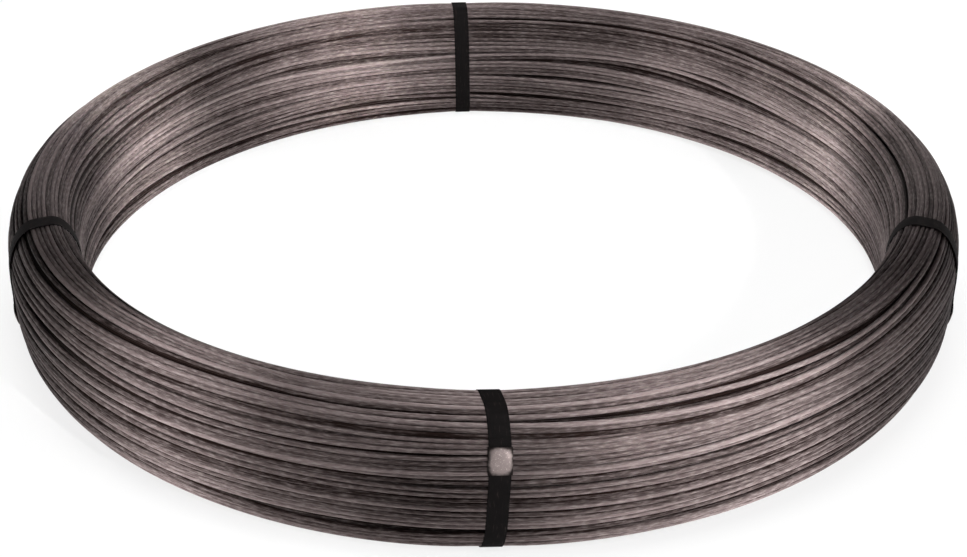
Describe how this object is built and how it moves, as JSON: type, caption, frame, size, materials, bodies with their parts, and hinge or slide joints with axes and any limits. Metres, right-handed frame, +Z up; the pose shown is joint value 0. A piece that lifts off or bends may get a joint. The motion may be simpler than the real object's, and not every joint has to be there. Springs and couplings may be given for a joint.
{
  "type": "coil of drawn steel wire",
  "caption": "Ring-shaped coil of fine drawn steel wire lying flat, with an open eye, held together by flat black steel straps closed with crimped seals.",
  "frame": {"origin": "centre of the coil at the height of its foot, at the bottom centre of its box", "axes": "+Z up along the coil's axis, -Y towards the front strap and its seal, +X to the right as seen from the front"},
  "size_m": [0.68, 0.6828, 0.097],
  "materials": {
    "drawn_wire": "dark drawn, satin",
    "black_strapping": "black, satin",
    "seal_steel": "matt plated"
  },
  "bodies": {
    "root": {"wire_coil": "drawn_wire", "strap_front": "black_strapping", "strap_right": "black_strapping", "strap_back": "black_strapping", "strap_left": "black_strapping", "seal_front": "seal_steel", "seal_right": "seal_steel", "seal_back": "seal_steel", "seal_left": "seal_steel"}
  },
  "joints": []
}
